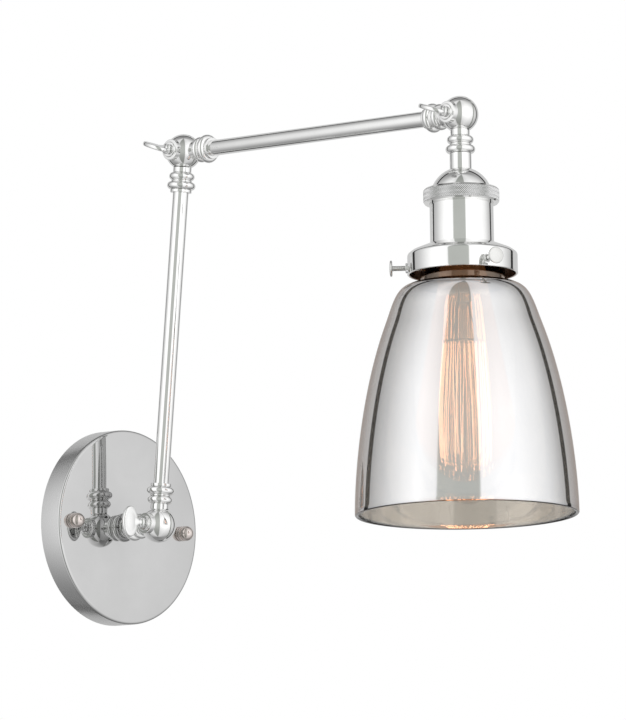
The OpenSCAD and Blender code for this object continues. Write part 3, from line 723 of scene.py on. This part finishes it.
def shade_fitter():
    """A spun gallery: sloping top, rounded shoulder, collar with a rolled foot, and a boss at each screw."""
    r, hole_r = FITTER_R, SHELL_R + 0.1
    foot = FITTER_END - 1.4
    outer = rounded([
        (hole_r, FITTER_TOP), (hole_r + 1.5, FITTER_TOP + 0.1), (r - 3.0, FITTER_SHOULDER - 2.2),
        (r, FITTER_SHOULDER, 2.4), (r, foot),
    ], 0.8, steps=6)
    outer += arc(r - 0.55, FITTER_END - 0.75, 0.75, 25, 155, 10)
    inner = rounded([(r - 1, foot), (r - 1, FITTER_SHOULDER + 1, 1.4), (hole_r, FITTER_TOP + 1.3)], 0.5)
    parts = [lathe("shade_fitter_bowl", outer + inner, SHADE_AXIS, closed=True, segments=192)]
    parts += [fitter_boss(f"shade_fitter_boss_{i}", axis) for i, axis in enumerate(screw_axis.values())]
    obj = joined("shade_fitter_spun", parts)
    finish_piece(obj, "shade_head", "polished_nickel", NICKEL, "shade_fitter")
    obj.data.materials.append(FITTER_PAINTED_SHADE)
    # the inner wall above the collar's foot gets the brown painted shade and painted reflection
    inside = 1
    for face in obj.data.polygons:
        middle = face.center
        outwards = Vector((middle.x, middle.y, 0)).dot(face.normal) > 0
        if not outwards and math.hypot(middle.x, middle.y) < (r - 0.9) * MM and middle.z > FITTER_TOP * MM:
            face.material_index = inside


def shade_screw(node_name, body):
    """A threaded shank with a thin, slightly domed round head."""
    tip, end, head_r, head_t = 25.2, 43.0, 4.9, 1.6
    pitch, root, crest = 0.7, 1.35, 1.6
    points = [(0, tip), (1.0, tip), (root, tip + 0.4)]
    z = tip + 0.5
    while z < end - head_t - 1.2:
        points += [(root, z), (crest, z + pitch / 2)]
        z += pitch
    neck = end - head_t
    points += [(root, z), (crest, z + 0.3), (crest, neck - 0.3), (crest + 0.4, neck)]
    points += rounded([
        (head_r - 0.4, neck), (head_r, neck + 0.4), (head_r - 0.2, end - 0.55), (head_r - 0.9, end - 0.35),
        (2.4, end - 0.1), (0, end),
    ], 0.25)
    at = place(HEAD + DOWN_SHADE * SCREW_AT * MM, screw_axis[node_name], DOWN_SHADE)
    obj = lathe(node_name + "_threaded", points, at, segments=48, angle=40)
    finish_piece(obj, body, "polished_nickel", TURNED, node_name)


# ---------------------------------------------------------------- glass shade
BODY_TOP, SHOULDER_TOP, SHOULDER_IN_R = 112.0, 136.6, 27.0
SHOULDER_RISE, SHOULDER_REACH = 15.0, 12.5
BODY_STEPS, SHOULDER_STEPS = 40, 22
BELL_H, BELL_POWER, BELL_FULLNESS = 160, 1.7, 0.44
NECK_OUT_R, LIP_OUT_R, LIP_TOP = 24.9, 28.4, 152.6


def body_r(h):
    """The bell's outer radius at a height above its rim."""
    return SHADE_R * (1 - (h / BELL_H) ** BELL_POWER) ** BELL_FULLNESS


def shoulder():
    """One curve between four control points, from the top of the bell to the foot of the neck."""
    tiny = 0.1
    slope = (body_r(BODY_TOP + tiny) - body_r(BODY_TOP - tiny)) / (2 * tiny)
    a = Vector((body_r(BODY_TOP), BODY_TOP))
    b = a + SHOULDER_RISE * Vector((slope, 1))
    c = Vector((SHOULDER_IN_R + SHOULDER_REACH, SHOULDER_TOP))
    d = Vector((SHOULDER_IN_R, SHOULDER_TOP))
    points = []
    for i in range(1, SHOULDER_STEPS + 1):
        t = i / SHOULDER_STEPS
        u = 1 - t
        points.append(tuple(u ** 3 * a + 3 * t * u ** 2 * b + 3 * t ** 2 * u * c + t ** 3 * d))
    return points


def shade_outer():
    """The outline from just above the rim, up the bell and over the shoulder, to the neck's lip."""
    heights = [BODY_TOP * i / BODY_STEPS for i in range(1, BODY_STEPS + 1)]
    points = [(body_r(h), h) for h in heights] + shoulder()
    neck = [
        (NECK_OUT_R, SHOULDER_TOP + 0.2, 1.2), (NECK_OUT_R, LIP_TOP - 3.0, 1.0),
        (LIP_OUT_R, LIP_TOP - 2.4, 0.8), (LIP_OUT_R, LIP_TOP, 0.8), (NECK_OUT_R - GLASS, LIP_TOP),
    ]
    return points + rounded([points[-1]] + neck, 0.5)[1:]


def offset_inwards(points, distance):
    """The outline moved towards the axis and the rim, square to itself."""
    out = []
    for i, p in enumerate(points):
        a = Vector(points[max(i - 1, 0)])
        b = Vector(points[min(i + 1, len(points) - 1)])
        along = (b - a).normalized()
        out.append((p[0] - along.y * distance, p[1] + along.x * distance))
    return out


def glass_shade():
    """The bell: half silvered outside, smoky glass at its inner face and fire-polished rim, and dark brown
    painted shade on the outer neck where it sits in the fitter.
    """
    outer = shade_outer()
    body = outer[:BODY_STEPS + SHOULDER_STEPS]
    inner = offset_inwards(body, GLASS) + [(NECK_OUT_R - GLASS, SHOULDER_TOP - GLASS)]
    rim = arc(SHADE_R - GLASS / 2, 1.0, GLASS / 2, 180, 360, 10)[1:-1]
    outline = [(r, SHADE_REACH - h) for r, h in rim + outer + inner[::-1]]
    around = 224
    obj = lathe("glass_shade_bell", outline, SHADE_AXIS, closed=True, segments=around, angle=60)
    finish_piece(obj, "shade_head", "mirror_glass", MIRROR_GLASS, "glass_shade")
    for finish in (SMOKE_GLASS, RIM_GLASS, NECK_GLASS_PAINTED_SHADE):
        obj.data.materials.append(finish)
    smoke, edge, painted_shade_throat = 1, 2, 3
    coat_end = len(rim) + len(body) - 1
    neck_end = len(rim) + len(outer)
    for face in obj.data.polygons:
        row = face.index // around
        if row < 2 or row >= neck_end:
            face.material_index = smoke
        elif row < len(rim) - 2:
            face.material_index = edge
        # the outer neck's rows get the dark brown painted shade
        elif row >= coat_end:
            face.material_index = painted_shade_throat


# ---------------------------------------------------------------- bulb
def bulb_outline(inside):
    """The bulb from its neck to its tip: a straight neck, a long cone and a round end."""
    r = BULB_R - inside
    centre = BULB_REACH - BULB_R
    slope = math.degrees(math.atan2(BULB_R - BULB_NECK_R - 1, centre - 92))
    neck_r = BULB_NECK_R - inside
    neck = [(neck_r, 84.6), (neck_r, 88.0), (neck_r + 0.7, 93.0), (neck_r + 2.2, 102.0)]
    return neck + arc(0, centre, r, -slope, 90, 28)


def bulb_glass():
    outer, inner = bulb_outline(0), bulb_outline(BULB_WALL)
    obj = lathe("bulb_envelope", outer + inner[::-1], SHADE_AXIS, segments=128, angle=60)
    finish_piece(obj, "shade_head", "bulb_glass", BULB_GLASS, "bulb_glass")


def threaded(name, r, bore_r, start, end):
    """A pressed screw shell: a rounded thread rolled into thin sheet."""
    outer = []
    steps = int((end - start) / EDISON_PITCH * 10)
    for i in range(steps + 1):
        z = start + (end - start) * i / steps
        dip = 1 - math.cos(2 * math.pi * (z - start) / EDISON_PITCH)
        outer.append((r - EDISON_DEPTH / 2 * dip, z))
    outline = outer + [(bore_r, end), (bore_r, start)]
    return lathe(name, outline, SHADE_AXIS, closed=True, segments=96, angle=50)


def lamp_holder_inside():
    shell = threaded("socket_screw_shell_rolled", r=14.3, bore_r=13.65, start=57.5, end=79.0)
    finish_piece(shell, "shade_head", "brass", BRASS, "socket_screw_shell")
    base = threaded("bulb_screw_base_rolled", r=13.1, bore_r=12.4, start=64.5, end=84.0)
    finish_piece(base, "shade_head", "brass", BRASS, "bulb_screw_base")


def curve(name, paths, radius, matrix):
    """Round wire along each path, given in millimetres in the matrix's frame."""
    data = bpy.data.curves.new(name, "CURVE")
    data.dimensions = "3D"
    data.bevel_depth = radius * MM
    data.bevel_resolution = 2
    data.use_fill_caps = True
    for path in paths:
        spline = data.splines.new("POLY")
        spline.points.add(len(path) - 1)
        for point, at in zip(spline.points, path):
            point.co = (*(c * MM for c in at), 1)
    obj = bpy.data.objects.new(name, data)
    bpy.context.scene.collection.objects.link(obj)
    obj.matrix_world = matrix
    return obj


def filament():
    """A squirrel cage: fine, slightly uneven strands between two rings of hooks."""
    random.seed(7)
    strands, steps = 26, 8
    paths = []
    for i in range(strands):
        a = 2 * math.pi * i / strands
        b = a + random.uniform(-0.16, 0.16)
        bow = random.uniform(-0.5, 0.7)
        path = []
        for k in range(steps + 1):
            t = k / steps
            r = CAGE_TOP_R + (CAGE_BOTTOM_R - CAGE_TOP_R) * t + bow * math.sin(math.pi * t)
            turn = a + (b - a) * t + random.uniform(-0.012, 0.012)
            path.append((r * math.cos(turn), r * math.sin(turn), CAGE_TOP + (CAGE_BOTTOM - CAGE_TOP) * t))
        paths.append(path)
    obj = curve("filament_cage", paths, 0.22, SHADE_AXIS)
    finish_piece(obj, "shade_head", "filament", FILAMENT, "filament")


def hook_ring(z, radius, tip):
    """Support wires that fan out from the glass rod and turn up at their ends."""
    hooks, rod_r = 8, 1.7
    profile = [(rod_r, z), (radius * 0.6, z + tip * 0.2), (radius, z + tip * 0.8), (radius, z + tip * 1.6)]
    paths = []
    for i in range(hooks):
        a = 2 * math.pi * i / hooks
        paths.append([(r * math.cos(a), r * math.sin(a), height) for r, height in profile])
    return paths


def filament_supports():
    paths = hook_ring(CAGE_TOP - 2, CAGE_TOP_R, 1.2) + hook_ring(CAGE_BOTTOM + 1.5, CAGE_BOTTOM_R, -1.2)
    lead = [(3.0, 100.0), (3.4, 116.0), (7.0, 130.0), (8.8, CAGE_TOP)]
    for side in (-1, 1):
        paths.append([(side * x, 0, z) for x, z in lead])
    obj = curve("filament_hooks", paths, 0.25, SHADE_AXIS)
    finish_piece(obj, "shade_head", "support_wire", WIRE, "filament_supports")


def glass_stem():
    """The flared foot, the pressed waist around the wires and the rod up to the cage's far end."""
    outline = rounded([
        (0, 86), (11.6, 86), (11.0, 88), (6.5, 92), (4.2, 97), (3.6, 108), (4.0, 113), (2.2, 115),
        (1.6, 118), (1.6, CAGE_BOTTOM + 1), (2.2, CAGE_BOTTOM + 2.2), (0, CAGE_BOTTOM + 3.4),
    ], 1.2)
    obj = lathe("bulb_stem_press", outline, SHADE_AXIS, segments=48, angle=60)
    finish_piece(obj, "shade_head", "bulb_glass", BULB_GLASS, "bulb_glass_stem")


# ---------------------------------------------------------------- build
backplate()
cap_nuts()
knuckle_half("base_knuckle_wall_half", "wall_swivel", BASE_STEM, 1, COLLAR_END, NIPPLE_R + THREAD_PLAY)
knuckle_half("base_knuckle_arm_half", "lower_arm", LOWER_UP, -1, COLLAR_END, TUBE_R + THREAD_PLAY)
knuckle_half("elbow_knuckle_lower_half", "lower_arm", LOWER_DOWN, 1, COLLAR_END, TUBE_R + THREAD_PLAY)
knuckle_half("elbow_knuckle_upper_half", "upper_arm", UPPER_OUT, -1, COLLAR_END, TUBE_R + THREAD_PLAY)
knuckle_half("head_knuckle_arm_half", "upper_arm", UPPER_BACK, 1, COLLAR_END, TUBE_R + THREAD_PLAY)
knuckle_half("head_knuckle_shade_half", "shade_head", SHADE_AXIS, -1, PLAIN_END, SPIGOT_R + THREAD_PLAY)
arm_tube("lower_arm_tube", "lower_arm", LOWER_UP, (ELBOW - BASE).length / MM)
arm_tube("upper_arm_tube", "upper_arm", UPPER_OUT, (HEAD - ELBOW).length / MM)
thumb_screw("base_thumb_screw", "base_screw", BASE, Vector((0, 0, 1)))
thumb_screw("elbow_thumb_screw", "elbow_screw", ELBOW, raised(20))
thumb_screw("head_thumb_screw", "head_screw", HEAD, raised(18))
head_stem()
socket_cap()
knurled_ring()
socket_shell()
shade_fitter()
for screw_name, screw_body in SHADE_SCREWS.items():
    shade_screw(screw_name, screw_body)
glass_shade()
lamp_holder_inside()
bulb_glass()
glass_stem()
filament()
filament_supports()

# CAD nodes whose plain shape is right keep it and get a finish
KEPT = {
    "crossbar": ZINC, "mounting_studs": ZINC, "stud_lock_nuts": ZINC,
    "swivel_nipple": ZINC, "swivel_washer": ZINC, "swivel_nut": ZINC,
    "stem_lock_nut": ZINC, "fitter_lock_ring": ZINC, "bulb_tip_contact": ZINC,
    "ground_screw": GREEN, "socket_insulator": PHENOLIC, "bulb_insulator": PHENOLIC,
    "terminal_screws": BRASS, "centre_contact": BRASS,
    "base_friction_washer": FIBRE, "elbow_friction_washer": FIBRE, "head_friction_washer": FIBRE,
    "lower_arm_leads": SLEEVE, "upper_arm_leads": SLEEVE, "socket_leads": SLEEVE,
}
for kept, finish in KEPT.items():
    data = frame["nodes"][kept].data
    data.materials.clear()
    data.materials.append(finish)


# ---------------------------------------------------------------- stage
CAMERA_AZIMUTH, CAMERA_ELEVATION, CAMERA_ROLL = -46.887, -7.694, 0.814
CAMERA_DISTANCE, CAMERA_LENS = 3.5, 283.15
AIM_RIGHT, AIM_UP = 0.1236, 0.1061
SENSOR_WIDTH, FARTHEST = 36.0, 100.0
FLOOR_HALF, FLOOR_Z = 20.0, -0.95


def camera_axes():
    """The directions from the object to the camera, to the picture's right and to its top."""
    a, e = math.radians(CAMERA_AZIMUTH), math.radians(CAMERA_ELEVATION)
    back = Vector((math.sin(a) * math.cos(e), -math.cos(a) * math.cos(e), math.sin(e)))
    right = Vector((math.cos(a), math.sin(a), 0))
    return back, right, back.cross(right)


def camera():
    back, right, up = camera_axes()
    roll = math.radians(CAMERA_ROLL)
    aim = right * AIM_RIGHT + up * AIM_UP
    x = right * math.cos(roll) + up * math.sin(roll)
    y = up * math.cos(roll) - right * math.sin(roll)
    data = bpy.data.cameras.new("camera")
    data.lens = CAMERA_LENS
    data.sensor_width = SENSOR_WIDTH
    data.clip_end = FARTHEST
    obj = bpy.data.objects.new("camera", data)
    bpy.context.scene.collection.objects.link(obj)
    turned = Matrix((x, y, back)).transposed().to_4x4()
    obj.matrix_world = Matrix.Translation(aim + back * CAMERA_DISTANCE) @ turned
    bpy.context.scene.camera = obj


def floor():
    half = FLOOR_HALF
    corners = [(x, y, FLOOR_Z) for x, y in ((-half, -half), (half, -half), (half, half), (-half, half))]
    mesh = bpy.data.meshes.new("floor")
    mesh.from_pydata(corners, [], [(0, 1, 2, 3)])
    obj = bpy.data.objects.new("floor", mesh)
    bpy.context.scene.collection.objects.link(obj)
    mat, tree, shader = material("floor")
    speckle = noise(tree, coordinates(tree), 8.0)
    tree.links.new(ramp(tree, speckle, [(0.3, 0.78), (0.7, 0.82)]), shader.inputs["Base Color"])
    shader.inputs["Roughness"].default_value = 0.9
    shader.inputs["Specular IOR Level"].default_value = 0.1
    mesh.materials.append(mat)
    obj.visible_glossy = False


# The studio in front of the lamp: brightness against the angle from the camera's direction, to the right in
# degrees. Two wide soft boxes stand left and right of a dim gap.
DIM = 0.58
STUDIO = [
    (-180, 0.5), (-123, 0.5), (-101, 0.72), (-72, 1.2), (-55, 1.42), (-34, 1.2), (-32, DIM), (11, DIM),
    (13, 1.28), (40, 1.44), (56, 1.42), (80, 1.2), (92, 1.08), (118, 0.6), (180, 0.5),
]
STUDIO_PEAK = 1.5
GAP_TINT = (0.97, 1.0, 0.95)
# Brightness against height, from straight down to straight up, as the direction's z
HEIGHTS = [
    (-1.0, 0.5), (-0.6, 0.7), (-0.2, 0.95), (0.1, 1.0), (0.45, 0.98), (0.75, 0.8), (0.9, 0.66), (1.0, 0.6),
]
# A dark gap runs around the white backdrop, at these angles in degrees from the camera's direction
GAP_FROM, GAP_TO, GAP_SOFT = 123.0, 131.0, 1.5
BACKDROP, DARK, HALF_DARK = 0.66, 0.02, 0.3


def world():
    """A studio drawn by direction, plain white where the camera looks straight at it."""
    back, right, up = camera_axes()
    made = bpy.data.worlds.new("studio")
    bpy.context.scene.world = made
    made.use_nodes = True
    tree = made.node_tree
    direction = tree.nodes.new("ShaderNodeTexCoord").outputs["Generated"]

    def along(axis):
        dot = node(tree, "ShaderNodeVectorMath", operation="DOT_PRODUCT")
        tree.links.new(direction, dot.inputs[0])
        dot.inputs[1].default_value = axis
        return dot.outputs["Value"]

    def unit(value, low, high):
        """The value, from low to high, as a number from 0 to 1."""
        made = node(tree, "ShaderNodeMapRange")
        made.inputs["From Min"].default_value = low
        made.inputs["From Max"].default_value = high
        tree.links.new(value, made.inputs["Value"])
        return made.outputs["Result"]

    def mixed(factor, a, b, blend="MIX"):
        made = node(tree, "ShaderNodeMix", data_type="RGBA", blend_type=blend)
        for name, value in (("Factor", factor), ("A", a), ("B", b)):
            if isinstance(value, (int, float, tuple)):
                made.inputs[name].default_value = value
            else:
                tree.links.new(value, made.inputs[name])
        return made.outputs["Result"]

    level = Vector((back.x, back.y, 0)).normalized()
    angle = node(tree, "ShaderNodeMath", operation="ARCTAN2")
    tree.links.new(along(right), angle.inputs[0])
    tree.links.new(along(level), angle.inputs[1])

    def tone(value):
        """A brightness as a part of the peak. The dim gap is a little green."""
        return tuple(value * c / STUDIO_PEAK for c in GAP_TINT) if value == DIM else value / STUDIO_PEAK

    stops = [((a + 180) / 360, tone(v)) for a, v in STUDIO]
    around = ramp(tree, unit(angle.outputs[0], -math.pi, math.pi), stops)
    up_down = ramp(tree, unit(along(Vector((0, 0, 1))), -1, 1), [((z + 1) / 2, v) for z, v in HEIGHTS])
    front = mixed(1.0, around, up_down, "MULTIPLY")
    facing = unit(along(back), -1, 1)

    def at(degrees):
        return (math.cos(math.radians(degrees)) + 1) / 2

    white = BACKDROP / STUDIO_PEAK
    behind = ramp(tree, facing, [
        (at(GAP_TO + GAP_SOFT), white), (at(GAP_TO), DARK), (at(GAP_FROM), DARK),
        (at(GAP_FROM - GAP_SOFT), HALF_DARK),
    ])
    in_front = ramp(tree, facing, [(at(GAP_FROM), 0.0), (at(GAP_FROM - GAP_SOFT), 1.0)])
    studio = mixed(in_front, behind, front)
    lit = tree.nodes["Background"]
    lit.inputs["Strength"].default_value = STUDIO_PEAK
    tree.links.new(studio, lit.inputs["Color"])
    plain_white = node(tree, "ShaderNodeBackground")
    plain_white.inputs["Color"].default_value = (1, 1, 1, 1)
    seen = tree.nodes.new("ShaderNodeLightPath")
    mix = tree.nodes.new("ShaderNodeMixShader")
    tree.links.new(seen.outputs["Is Camera Ray"], mix.inputs["Fac"])
    tree.links.new(lit.outputs["Background"], mix.inputs[1])
    tree.links.new(plain_white.outputs["Background"], mix.inputs[2])
    tree.links.new(mix.outputs["Shader"], tree.nodes["World Output"].inputs["Surface"])


camera()
floor()
world()
bpy.context.scene.view_settings.view_transform = "Standard"
